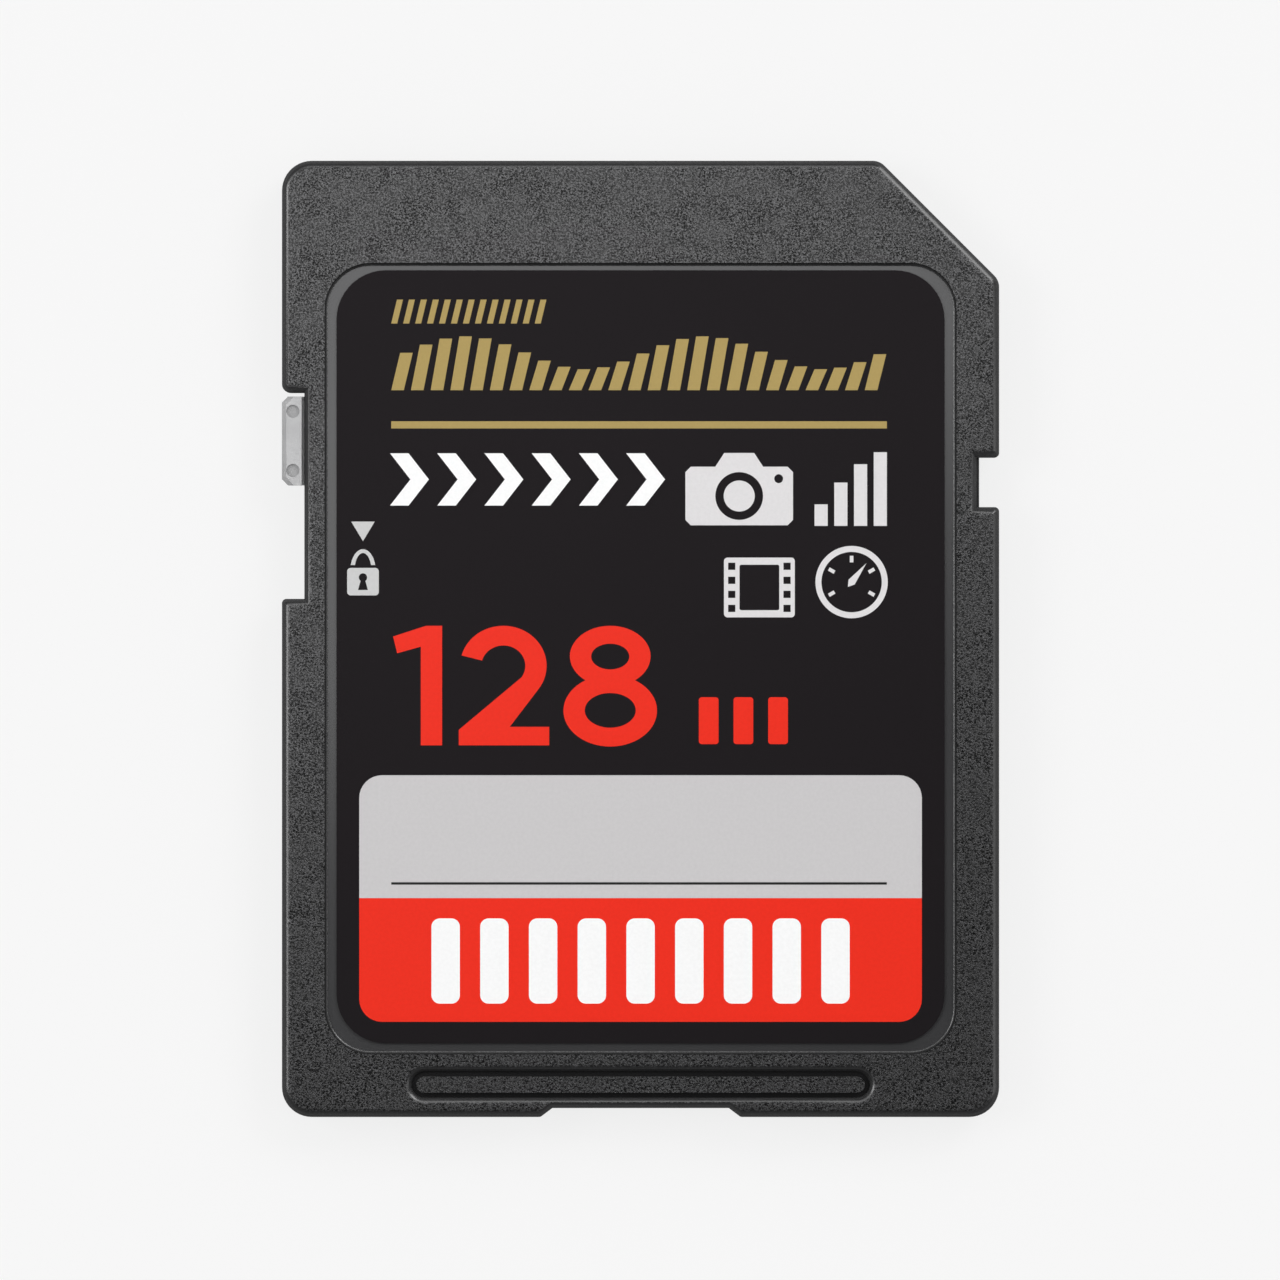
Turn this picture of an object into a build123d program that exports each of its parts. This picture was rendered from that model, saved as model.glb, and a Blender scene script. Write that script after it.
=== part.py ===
"""Full-size flash memory card: two moulded half shells, a sliding write lock, a label and the board inside.

The card lies flat with its label up. Seen from the label side, +X is to the right and +Y points to the contact
end. +Z is up, and the origin is on the floor under the middle of the card. All sizes are in millimetres.
"""

import os
from math import sqrt

from build123d import *

# Contact row: pitches and margins across the card, which together make its width
contact_pitch = 2.5
bridge_pitch = 2.425
narrow_pitch = 1.7
lock_side_margin = 1.625
corner_side_margin = 3.25
wide_slot_width = 1.7
narrow_slot_width = 1.1
pad_length = 4.2
pad_thickness = 0.05
pad_gap = 0.05
pad_edge_gap = 0.15
pad_corner_radius = 0.15

# Card body
card_length = 32.0
edge_thickness = 1.4
plateau_height = 0.7
corner_cut = 4.0
corner_cut_radius = 0.55
corner_radius = 1.0
edge_round = 0.3
notch_corner_radius = 0.15
lock_mouth_radius = 0.28
guide_bevel = 0.12
seam_bevel = 0.03

# Notches in the outline, measured from the contact end
lock_notch_start = 7.76
lock_notch_length = 6.9
lock_notch_depth = 0.75
key_notch_start = 9.93
key_notch_length = 1.66
key_notch_depth = 0.66
key_notch_relief = 0.1
pull_notch_width = 6.7
pull_notch_depth = 0.3
pull_notch_slope = 0.4

# Plateau on the back, which stands below the guide edges
guide_width = 0.75
plateau_rear_step = 0.95
plateau_lead_step = 0.3
plateau_corner_radius = 1.2
lead_in = 0.4
plateau_bevel = 0.12

# Walls of the two shells
lead_wall = 0.9
rear_wall = 1.6
contact_side_wall = 0.85
channel_wall = 0.35
shoulder_wall = 0.7
front_wall = 0.3
floor_wall = 0.35
core_rib = 0.6
core_columns = 3
core_rows = 3

# Label recess and label
recess_side_margin = 1.43
recess_front_margin = 3.42
recess_rear_margin = 2.1
recess_radius = 1.55
recess_depth = 0.2
recess_draft = 15.0
recess_fillet = 0.08
label_side_gap = 0.4
label_front_gap = 0.25
label_rear_gap = 0.37
label_radius = 1.65
label_thickness = 0.1

# Finger grip near the rear edge: a level bar inside a moat with a rounded outer shoulder
grip_length = 15.0
grip_width = 0.54
grip_rear_margin = 1.09
moat_width = 0.16
moat_depth = 0.28
moat_shoulder = 0.24

# Write lock
slider_length = 2.97
slider_end_gap = 0.13
slider_wall_gap = 0.09
slider_face_inset = 0.1
slider_corner = 0.2
slider_bevel = 0.15
slider_dimple_diameter = 0.44
slider_dimple_depth = 0.12
slider_dimple_spacing = 1.98
slider_dimple_inset = 0.37
channel_mouth = 0.4
channel_lip = 0.25
channel_height = 0.7
channel_depth = 0.35
slide_clearance = 0.04

# Board and what is soldered on it
board_thickness = 0.3
board_clearance = 0.06
post_diameter = 0.8
post_inset = 0.8
post_clearance = 0.03
chip_headroom = 0.06
memory_width = 12.0
memory_length = 15.0
memory_rear_inset = 1.0
controller_side = 5.5
controller_height = 0.42
controller_front_inset = 3.0
controller_offset = -3.5
chip_bevel = 0.08
chip_mark_diameter = 0.7
chip_mark_depth = 0.05
chip_mark_inset = 1.0
passive_length = 1.0
passive_width = 0.5
capacitor_height = 0.35
resistor_height = 0.28
terminal_length = 0.22
terminal_step = 0.02
capacitor_columns = 3
capacitor_rows = 2
resistor_count = 4
passive_pitch = 1.6
passive_gap = 1.2

# Places that follow from the sizes above
contact_pitches = [narrow_pitch, bridge_pitch] + 6 * [contact_pitch]
card_width = lock_side_margin + sum(contact_pitches) + corner_side_margin
card_thickness = plateau_height + edge_thickness
left_edge = -card_width / 2
right_edge = card_width / 2
front_edge = card_length / 2
rear_edge = -card_length / 2
corner_line = right_edge + front_edge - corner_cut

contact_plane = plateau_height
seam_height = contact_plane + edge_thickness / 2
board_seat = contact_plane + pad_thickness
board_top = board_seat + board_thickness
recess_floor = card_thickness - recess_depth
shell_ceiling = recess_floor - front_wall

lock_front = front_edge - lock_notch_start
lock_rear = lock_front - lock_notch_length
lock_wall = left_edge + lock_notch_depth
key_front = front_edge - key_notch_start
key_rear = key_front - key_notch_length
pull_mouth = pull_notch_width / 2
slider_y = lock_front - slider_end_gap - slider_length / 2
slider_top = card_thickness - slider_face_inset

side_wall = lock_notch_depth + channel_lip + channel_depth + channel_wall
pocket_front = front_edge - lead_wall
pocket_rear = rear_edge + rear_wall
pocket_right = right_edge - side_wall
pocket_left = left_edge + side_wall
pocket_wide_left = left_edge + contact_side_wall
pocket_shoulder = lock_front + shoulder_wall
pocket_corner_line = corner_line - lead_wall * sqrt(2)
board_front = pocket_front - board_clearance
board_rear = pocket_rear + board_clearance
board_corner_line = pocket_corner_line - board_clearance * sqrt(2)

recess_width = card_width - 2 * recess_side_margin
recess_length = card_length - recess_front_margin - recess_rear_margin
recess_y = (recess_rear_margin - recess_front_margin) / 2
label_width = recess_width - 2 * label_side_gap
label_length = recess_length - label_front_gap - label_rear_gap
label_y = recess_y + (label_rear_gap - label_front_gap) / 2
grip_y = rear_edge + grip_rear_margin


# The contacts from the lock side to the cut corner, by their usual numbers
contact_numbers = [8, 7, 6, 5, 4, 3, 2, 1, 9]
contact_slot_widths = 2 * [narrow_slot_width] + 7 * [wide_slot_width]
contact_places = [left_edge + lock_side_margin]
for pitch in contact_pitches:
    contact_places.append(contact_places[-1] + pitch)


def pad_front(place, slot_width):
    """Front end of a pad, kept inside the board's front edge and its cut corner."""
    corner_limit = board_corner_line - pad_edge_gap * sqrt(2) - place - slot_width / 2
    return min(board_front - pad_edge_gap, corner_limit)


contact_fronts = [pad_front(place, width) for place, width in zip(contact_places, contact_slot_widths)]
contacts = list(zip(contact_numbers, contact_places, contact_slot_widths, contact_fronts))
contacts_rear = min(contact_fronts) - pad_length - pad_gap


def outline_sketch(corners):
    """A closed face through the given corners, each a point and the radius that rounds it."""
    points = [point for point, radius in corners]
    radii = [radius for point, radius in corners]
    with BuildSketch() as outline:
        with BuildLine():
            FilletPolyline(*points, radius=radii, close=True)
        make_face()
    return outline.sketch


# The mouths of the notches, where they meet the edges of the card
lock_mouths = [(left_edge, lock_front), (left_edge, lock_rear)]
pull_mouths = [(-pull_mouth, rear_edge), (pull_mouth, rear_edge)]
key_mouths = [(right_edge, key_rear), (right_edge, key_front)]


def card_outline(key_depth, mouth_radius, lead_mouth_radius):
    """Outline of a half shell: cut corner, lock notch, key notch and the shallow pull notch at the rear."""
    key_wall = right_edge - key_depth
    pull_flat = pull_mouth - pull_notch_slope
    pull_line = rear_edge + pull_notch_depth
    corners = [
        ((left_edge, front_edge), corner_radius),
        (lock_mouths[0], lead_mouth_radius),
        ((lock_wall, lock_front), 0),
        ((lock_wall, lock_rear), 0),
        (lock_mouths[1], mouth_radius),
        ((left_edge, rear_edge), corner_radius),
        (pull_mouths[0], mouth_radius),
        ((-pull_flat, pull_line), 0),
        ((pull_flat, pull_line), 0),
        (pull_mouths[1], mouth_radius),
        ((right_edge, rear_edge), corner_radius),
        (key_mouths[0], mouth_radius),
        ((key_wall, key_rear), 0),
        ((key_wall, key_front), 0),
        (key_mouths[1], mouth_radius),
        ((right_edge, front_edge - corner_cut), corner_cut_radius),
        ((right_edge - corner_cut, front_edge), corner_cut_radius),
    ]
    return outline_sketch(corners)


def mouth_edges(shell, mouths):
    """Upright edges of a shell that stand at the given mouths."""
    places = [Vector(*mouth) for mouth in mouths]
    upright = shell.edges().filter_by(Axis.Z)
    return [
        min(upright, key=lambda edge: (Vector(edge.center().X, edge.center().Y) - place).length) for place in places
    ]


def plateau_outline():
    """Outline of the thick middle, inside the guide edges and parallel to the cut corner."""
    left = left_edge + guide_width
    right = right_edge - guide_width
    rear = rear_edge + plateau_rear_step
    front = front_edge - plateau_lead_step
    diagonal = corner_line - plateau_lead_step * sqrt(2)
    corners = [
        ((left, front), 0),
        ((left, rear), plateau_corner_radius),
        ((right, rear), plateau_corner_radius),
        ((right, diagonal - right), 0),
        ((diagonal - front, front), 0),
    ]
    return outline_sketch(corners)


def board_outline(clearance):
    """The pocket in the shells, or with a clearance the board in it: wide at the contacts, narrow at the lock."""
    front = pocket_front - clearance
    rear = pocket_rear + clearance
    left = pocket_left + clearance
    right = pocket_right - clearance
    wide_left = pocket_wide_left + clearance
    shoulder = pocket_shoulder + clearance
    diagonal = pocket_corner_line - clearance * sqrt(2)
    corners = [
        ((wide_left, front), 0),
        ((wide_left, shoulder), 0),
        ((left, shoulder), 0),
        ((left, rear), 0),
        ((right, rear), 0),
        ((right, diagonal - right), 0),
        ((diagonal - front, front), 0),
    ]
    return outline_sketch(corners)


def channel_profile(clearance):
    """T-shaped section that holds the write lock, seen along the card; a clearance gives the lock's own tongue."""
    lip_face = lock_wall + channel_lip + clearance
    back_face = lock_wall + channel_lip + channel_depth - clearance
    mouth_half = channel_mouth / 2 - clearance
    chamber_half = channel_height / 2 - clearance
    mouth_start = left_edge + lock_notch_depth - slider_wall_gap
    with BuildSketch() as profile:
        with BuildLine():
            Polyline(
                (mouth_start, 0),
                (mouth_start, mouth_half),
                (lip_face, mouth_half),
                (lip_face, chamber_half),
                (back_face, chamber_half),
                (back_face, 0),
                close=True,
            )
        make_face()
        mirror(about=Plane.XZ)
    return profile.sketch


def along_lock(y):
    """A plane across the write lock at y, with its own origin on the seam."""
    return Plane(origin=(0, y, seam_height), x_dir=(1, 0, 0), z_dir=(0, -1, 0))


os.makedirs("parts", exist_ok=True)

# Front shell: rolled front edge, recess for the label, finger grip and the roof over the board
with BuildPart() as front_shell:
    with BuildSketch(Plane.XY.offset(seam_height)):
        add(card_outline(key_notch_depth + key_notch_relief, 0, 0))
    extrude(amount=card_thickness - seam_height)
    fillet(front_shell.faces().sort_by(Axis.Z)[-1].edges(), edge_round)
    fillet(mouth_edges(front_shell, lock_mouths[:1]), lock_mouth_radius)
    fillet(mouth_edges(front_shell, lock_mouths[1:] + pull_mouths + key_mouths), notch_corner_radius)
    chamfer(front_shell.faces().sort_by(Axis.Z)[0].edges(), seam_bevel)

    with BuildSketch(Plane.XY.offset(card_thickness)):
        with Locations((0, recess_y)):
            RectangleRounded(recess_width, recess_length, recess_radius)
    extrude(amount=-recess_depth, taper=recess_draft, mode=Mode.SUBTRACT)
    recess_face = front_shell.faces().sort_by(lambda face: abs(face.center().Z - recess_floor))[0]
    fillet(recess_face.edges(), recess_fillet)

    with BuildPart(mode=Mode.SUBTRACT) as moat:
        with BuildSketch(Plane.XY.offset(card_thickness - moat_depth)):
            with Locations((0, grip_y)):
                SlotOverall(grip_length + 2 * moat_width, grip_width + 2 * moat_width)
        extrude(amount=moat_depth)
        with BuildSketch(Plane.XY.offset(card_thickness)):
            moat_rim = 2 * moat_width + 4 * moat_shoulder
            with Locations((0, grip_y)):
                SlotOverall(grip_length + moat_rim, grip_width + moat_rim)
        extrude(amount=moat_depth)
        rim_face = moat.faces().sort_by(lambda face: abs(face.center().Z - card_thickness))[0]
        fillet(rim_face.inner_wires()[0].edges(), moat_shoulder)
    with BuildSketch(Plane.XY.offset(card_thickness - moat_depth)):
        with Locations((0, grip_y)):
            SlotOverall(grip_length, grip_width)
    extrude(amount=moat_depth)

    with BuildSketch(Plane.XY.offset(seam_height)):
        add(board_outline(0))
    extrude(amount=shell_ceiling - seam_height, mode=Mode.SUBTRACT)

    with BuildSketch(Plane.XY.offset(board_top + post_clearance)):
        post_rear = pocket_rear + post_inset
        post_front = pocket_shoulder - post_inset
        with Locations((0, (post_rear + post_front) / 2)):
            with GridLocations(pocket_right - pocket_left - 2 * post_inset, post_front - post_rear, 2, 2):
                Circle(post_diameter / 2)
    extrude(amount=shell_ceiling - board_top - post_clearance)

    with BuildSketch(along_lock((lock_front + lock_rear) / 2)):
        add(channel_profile(0))
    extrude(amount=lock_notch_length / 2, both=True, mode=Mode.SUBTRACT)
front_shell.part.label = "front_shell"
export_step(front_shell.part, "parts/front_shell.step")

# Rear shell: guide edges, plateau, comb of contact slots and the cored floor under the board
with BuildPart() as rear_shell:
    with BuildSketch(Plane.XY.offset(contact_plane)):
        add(card_outline(key_notch_depth, notch_corner_radius, lock_mouth_radius))
    extrude(amount=seam_height - contact_plane)
    chamfer(rear_shell.faces().sort_by(Axis.Z)[0].edges(), guide_bevel)
    chamfer(rear_shell.faces().sort_by(Axis.Z)[-1].edges(), seam_bevel)

    with BuildSketch():
        add(plateau_outline())
    extrude(amount=contact_plane)
    foot_edges = rear_shell.faces().sort_by(Axis.Z)[0].edges()
    lead_edges = foot_edges.filter_by(lambda edge: edge.center().Y > 0).filter_by(Axis.Y, reverse=True)
    chamfer(lead_edges, lead_in)
    foot_edges = rear_shell.faces().sort_by(Axis.Z)[0].edges()
    lead_edges = foot_edges.filter_by(lambda edge: edge.center().Y > 0).filter_by(Axis.Y, reverse=True)
    chamfer(foot_edges - lead_edges, plateau_bevel)

    with BuildSketch():
        for number, place, width, front in contacts:
            slot_rear = front - pad_length - pad_gap
            with Locations((place, (slot_rear + front_edge) / 2)):
                Rectangle(width, front_edge - slot_rear)
    extrude(amount=contact_plane, mode=Mode.SUBTRACT)
    with BuildSketch(Plane.XY.offset(contact_plane)):
        for number, place, width, front in contacts:
            with Locations((place, front - pad_length / 2)):
                Rectangle(width, pad_length + 2 * pad_gap)
    extrude(amount=pad_thickness, mode=Mode.SUBTRACT)

    with BuildSketch(Plane.XY.offset(board_seat)):
        add(board_outline(0))
    extrude(amount=seam_height - board_seat, mode=Mode.SUBTRACT)

    with BuildSketch(Plane.XY.offset(floor_wall)):
        core_width = pocket_right - pocket_left - 2 * core_rib
        core_length = contacts_rear - pocket_rear - 2 * core_rib
        cell_width = (core_width - (core_columns - 1) * core_rib) / core_columns
        cell_length = (core_length - (core_rows - 1) * core_rib) / core_rows
        with Locations((0, pocket_rear + core_rib + core_length / 2)):
            with GridLocations(cell_width + core_rib, cell_length + core_rib, core_columns, core_rows):
                Rectangle(cell_width, cell_length)
    extrude(amount=board_seat - floor_wall, mode=Mode.SUBTRACT)

    with BuildSketch(along_lock((lock_front + lock_rear) / 2)):
        add(channel_profile(0))
    extrude(amount=lock_notch_length / 2, both=True, mode=Mode.SUBTRACT)
rear_shell.part.label = "rear_shell"
export_step(rear_shell.part, "parts/rear_shell.step")

# Write lock: a block in the notch, held by its tongue in the channel between the shells
with BuildPart() as lock_slider:
    block_width = lock_notch_depth - slider_wall_gap
    block_height = 2 * (slider_top - seam_height)
    with BuildSketch(along_lock(slider_y)):
        with Locations((left_edge, 0)):
            Rectangle(block_width, block_height, align=(Align.MIN, Align.CENTER))
        add(channel_profile(slide_clearance))
    extrude(amount=slider_length / 2, both=True)
    chamfer(lock_slider.edges().filter_by(Axis.Z).group_by(Axis.X)[0], slider_corner)
    for face in (lock_slider.faces().sort_by(Axis.Z)[-1], lock_slider.faces().sort_by(Axis.Z)[0]):
        left_and_corners = face.edges().sort_by(Axis.X)[:3]
        chamfer(left_and_corners, slider_bevel)
    with Locations((left_edge + slider_dimple_inset, slider_y, slider_top)):
        with GridLocations(0, slider_dimple_spacing, 1, 2):
            Hole(slider_dimple_diameter / 2, depth=slider_dimple_depth)
lock_slider.part.label = "lock_slider"
export_step(lock_slider.part, "parts/lock_slider.step")

# Label: printed film on the floor of the recess
with BuildPart() as label:
    with BuildSketch(Plane.XY.offset(recess_floor)):
        with Locations((0, label_y)):
            RectangleRounded(label_width, label_length, label_radius)
    extrude(amount=label_thickness)
label.part.label = "label"
export_step(label.part, "parts/label.step")

# Circuit board on the ribs and the cored floor of the rear shell
with BuildPart() as circuit_board:
    with BuildSketch(Plane.XY.offset(board_seat)):
        add(board_outline(board_clearance))
    extrude(amount=board_thickness)
circuit_board.part.label = "circuit_board"
export_step(circuit_board.part, "parts/circuit_board.step")

# Contact pads on the underside of the board, one in each slot
for number, place, width, front in contacts:
    with BuildPart() as contact_pad:
        with BuildSketch(Plane.XY.offset(contact_plane)):
            with Locations((place, front - pad_length / 2)):
                RectangleRounded(width - 2 * pad_gap, pad_length, pad_corner_radius)
        extrude(amount=pad_thickness)
    contact_pad.part.label = f"contact_pad_{number}"
    export_step(contact_pad.part, f"parts/contact_pad_{number}.step")

# Chips on the label side of the board: name, centre, plan size and height
controller_y = board_front - controller_front_inset - controller_side / 2
memory_y = board_rear + memory_rear_inset + memory_length / 2
memory_height = shell_ceiling - chip_headroom - board_top
chips = [
    ("memory_chip", (0, memory_y), memory_width, memory_length, memory_height),
    ("controller_chip", (controller_offset, controller_y), controller_side, controller_side, controller_height),
]
for name, centre, width, length, height in chips:
    with BuildPart() as chip:
        with BuildSketch(Plane.XY.offset(board_top)):
            with Locations(centre):
                Rectangle(width, length)
        extrude(amount=height)
        chamfer(chip.faces().sort_by(Axis.Z)[-1].edges(), chip_bevel)
        mark_x = centre[0] - width / 2 + chip_mark_inset
        mark_y = centre[1] + length / 2 - chip_mark_inset
        with Locations((mark_x, mark_y, board_top + height)):
            Hole(chip_mark_diameter / 2, depth=chip_mark_depth)
    chip.part.label = name
    export_step(chip.part, f"parts/{name}.step")

# Capacitors in rows on one side of the controller, resistors in a column on the other
capacitor_x = controller_offset + controller_side / 2 + passive_gap
resistor_x = controller_offset - controller_side / 2 - passive_gap
passives = []
for row in range(capacitor_rows):
    for column in range(capacitor_columns):
        x = capacitor_x + column * passive_pitch
        y = controller_y + (row - (capacitor_rows - 1) / 2) * passive_pitch
        passives.append((f"capacitor_{row * capacitor_columns + column + 1}", x, y, capacitor_height))
for row in range(resistor_count):
    y = controller_y + (row - (resistor_count - 1) / 2) * passive_pitch
    passives.append((f"resistor_{row + 1}", resistor_x, y, resistor_height))
for name, x, y, height in passives:
    with BuildPart() as passive:
        with BuildSketch(Plane.XY.offset(board_top)):
            with Locations((x, y)):
                Rectangle(passive_length, passive_width - 2 * terminal_step)
                with GridLocations(passive_length - terminal_length, 0, 2, 1):
                    Rectangle(terminal_length, passive_width)
        extrude(amount=height)
    passive.part.label = name
    export_step(passive.part, f"parts/{name}.step")
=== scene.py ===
# %% [markdown]
# # A flash memory card, dressed in Blender
# The card comes from CAD as solids that already have their true size and place. This lesson gives them
# their finish: grained plastic, a printed film, gold contacts and the light of a small studio. Every
# object is in metres, in the frame of the CAD, so nothing here has to be fitted by eye.

# %% Load the frame
from math import asin, cos, degrees, pi, radians, sin

import bmesh
import bpy
from mathutils import Color, Matrix, Vector


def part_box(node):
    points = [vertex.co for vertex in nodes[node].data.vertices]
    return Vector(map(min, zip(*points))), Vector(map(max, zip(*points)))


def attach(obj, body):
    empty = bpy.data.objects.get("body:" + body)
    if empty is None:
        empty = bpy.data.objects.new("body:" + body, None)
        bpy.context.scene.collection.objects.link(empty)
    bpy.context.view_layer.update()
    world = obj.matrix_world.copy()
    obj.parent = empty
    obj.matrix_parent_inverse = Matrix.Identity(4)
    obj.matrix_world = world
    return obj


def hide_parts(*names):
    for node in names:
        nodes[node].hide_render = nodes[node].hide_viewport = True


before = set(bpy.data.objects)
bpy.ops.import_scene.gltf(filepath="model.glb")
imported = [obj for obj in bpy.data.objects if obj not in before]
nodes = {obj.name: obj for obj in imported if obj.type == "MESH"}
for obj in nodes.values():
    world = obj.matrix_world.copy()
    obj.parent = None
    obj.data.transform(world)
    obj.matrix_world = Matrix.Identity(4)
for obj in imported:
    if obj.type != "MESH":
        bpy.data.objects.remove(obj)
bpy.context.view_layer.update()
scene = bpy.context.scene
scene.view_settings.view_transform = "Standard"

MM = 0.001
label_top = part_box("label")[1].z
front_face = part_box("front_shell")[1].z
print("nodes:", len(nodes), "front face at", round(front_face / MM, 3), "mm")

# %% [markdown]
# ## Camera
# The photograph looks straight down on the label, from so far away that no side wall shows. A camera
# without perspective would show the same, but it looks odd from every other side. A long lens half a
# metre above the card serves for both. Its focal length follows from the width of the picture on the
# card's front face.

# %% Camera
image_side = 1280
pixels_per_mm = 29.9
card_at_x, card_at_y = 640.55, 638.9
camera_gap = 0.5
nearest_seen, farthest_seen = 0.01, 20.0

camera_data = bpy.data.cameras.new("camera")
camera_data.lens = camera_data.sensor_width * camera_gap / (image_side / pixels_per_mm * MM)
camera_data.clip_start = nearest_seen
camera_data.clip_end = farthest_seen
camera = bpy.data.objects.new("camera", camera_data)
camera.location = (
    (image_side / 2 - card_at_x) / pixels_per_mm * MM,
    (card_at_y - image_side / 2) / pixels_per_mm * MM,
    front_face + camera_gap,
)
scene.collection.objects.link(camera)
scene.camera = camera
print("lens:", round(camera_data.lens), "mm")

# %% [markdown]
# ## Helpers for materials
# A material is a small tree of nodes. It could be drawn by hand in the shader editor, but a script can be
# read and run again. These helpers add one node at a time and link it as it is made, so that each finish
# below reads as a list of what it is made of. Patterns run on Object coordinates, turned into
# millimetres. A mask is a pattern from 0 to 1 that says where a finish lies.


# %% Helpers for nodes and colours
def set_inputs(tree, node, inputs):
    """Set each named input to a number or a colour, or link it to another node's output."""
    for name, value in inputs.items():
        if isinstance(value, bpy.types.NodeSocket):
            tree.links.new(value, node.inputs[name])
        else:
            node.inputs[name].default_value = value


def add_node(tree, kind, inputs=None, **properties):
    """Add a node of one kind, with its properties and inputs."""
    node = tree.nodes.new(kind)
    for name, value in properties.items():
        setattr(node, name, value)
    set_inputs(tree, node, inputs or {})
    return node


def new_finish(name):
    """A new material with its node tree and its shader."""
    material = bpy.data.materials.new(name)
    material.use_nodes = True
    return material, material.node_tree, material.node_tree.nodes["Principled BSDF"]


def linear_colour(red, green, blue):
    """A colour as a picture stores it, from 0 to 255, as the linear light that Blender mixes."""
    stored = Color([value / 255 for value in (red, green, blue)])
    return (*stored.from_srgb_to_scene_linear(), 1.0)


def shade(colour, factor):
    """The same colour, darker or lighter."""
    return (*(value * factor for value in colour[:3]), 1.0)


print("mid grey as linear light:", round(linear_colour(128, 128, 128)[0], 3))

# %% Helpers for patterns and masks
NOISE_SPAN = (0.3, 0.7)
NOISE_MIDDLE = (0.35, 0.65)


def places_in_mm(tree, stretch=(1, 1, 1), centre=(0, 0, 0)):
    """Object coordinates in millimetres from a centre, drawn out along an axis where stretch is small."""
    scale = [value / MM for value in stretch]
    shift = [-place * value for place, value in zip(centre, scale)]
    source = add_node(tree, "ShaderNodeTexCoord").outputs["Object"]
    settings = {"Vector": source, "Scale": scale, "Location": shift}
    return add_node(tree, "ShaderNodeMapping", settings).outputs["Vector"]


def part_of(tree, vector, axis):
    """The X, Y or Z of a vector."""
    return add_node(tree, "ShaderNodeSeparateXYZ", {"Vector": vector}).outputs[axis]


def noise(tree, places, per_mm, detail=2.0, roughness=0.5):
    """Noise with about this many grains to a millimetre; most of it lies inside NOISE_SPAN."""
    settings = {"Vector": places, "Scale": per_mm, "Detail": detail, "Roughness": roughness}
    return add_node(tree, "ShaderNodeTexNoise", settings).outputs["Fac"]


def combine(tree, operation, first, second=0.0):
    """One step of arithmetic on one value or two."""
    return add_node(tree, "ShaderNodeMath", {0: first, 1: second}, operation=operation).outputs["Value"]


def all_of(tree, mask, *others):
    """The product of masks, which is 1 only where every one of them is."""
    for other in others:
        mask = combine(tree, "MULTIPLY", mask, other)
    return mask


def rest_of(tree, mask):
    """What a mask leaves out."""
    return combine(tree, "SUBTRACT", 1.0, mask)


def remap(tree, value, start, end, low, high):
    """Go smoothly from low to high while a value goes from start to end."""
    settings = {"Value": value, "From Min": start, "From Max": end, "To Min": low, "To Max": high}
    return add_node(tree, "ShaderNodeMapRange", settings, interpolation_type="SMOOTHSTEP").outputs["Result"]


def rising(tree, value, start, end):
    """A mask that goes from 0 to 1."""
    return remap(tree, value, start, end, 0.0, 1.0)


def falling(tree, value, start, end):
    """A mask that goes from 1 to 0."""
    return remap(tree, value, start, end, 1.0, 0.0)


print("noise lies mostly between", NOISE_SPAN)


# %% Helpers for blends and bumps
# The inputs of a Mix node go by number: 0 is the factor, 2 and 3 are numbers, and 6 and 7 are colours.
def blend_colours(tree, factor, first, second):
    """Mix two colours by a mask."""
    return add_node(tree, "ShaderNodeMix", {0: factor, 6: first, 7: second}, data_type="RGBA").outputs[2]


def blend_values(tree, factor, first, second):
    """Mix two numbers by a mask."""
    return add_node(tree, "ShaderNodeMix", {0: factor, 2: first, 3: second}, data_type="FLOAT").outputs[0]


def mottled(tree, pattern, span, colour, dark, light):
    """A colour that wavers between a darker and a lighter shade of itself with a pattern."""
    return blend_colours(tree, rising(tree, pattern, *span), shade(colour, dark), shade(colour, light))


def bump(tree, height, depth_mm):
    """Turn a height from 0 to 1 into a bent normal, as deep as given."""
    settings = {"Height": height, "Distance": depth_mm * MM, "Strength": 1.0}
    return add_node(tree, "ShaderNodeBump", settings).outputs["Normal"]


print("material helpers ready")

# %% [markdown]
# ## Shell plastic
# The shells are dark grey plastic from a spark-eroded mould. The erosion leaves pits on the broad faces,
# which crowd together in clumps. The rolled edge is smooth and shines, the side walls are less pitted,
# and the floor of the label recess is polished. Each of these could be a material of its own, but their
# borders would be hard. One material does it all, with masks from the height of the surface and the way
# that it faces. A pit traps light. A lower specular level would do that, but an exported model keeps only
# one such level. Black metal reflects nothing from above, and the export keeps the Metallic input as a
# texture, so the pits are mixed in there.

# %% Shell plastic: where each finish lies
shell_plastic, tree, shader = new_finish("shell_plastic")
places = places_in_mm(tree)
height = part_of(tree, places, "Z")
depth = combine(tree, "SUBTRACT", front_face / MM, height)
facing = add_node(tree, "ShaderNodeNewGeometry").outputs["Normal"]
flatness = combine(tree, "ABSOLUTE", part_of(tree, facing, "Z"))

# Where each mask starts and ends. Flatness is 1 on a level face and 0 on an upright wall.
level_flatness = (0.975, 0.995)
broad_flatness = (0.9, 0.99)
side_flatness = (0.3, 0.5)
rim_flatness = (0.35, 0.55)
# Depths are in millimetres below the front face, and heights in millimetres above the floor.
face_skin_depth = (0.02, 0.06)
rim_depth = (0.1, 0.15)
groove_depth = (0.22, 0.26)
side_depth = (0.3, 0.4)
back_skin_height = (0.02, 0.06)
seam_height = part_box("front_shell")[0].z / MM
groove_height = (seam_height + 0.1, seam_height + 0.15)

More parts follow.
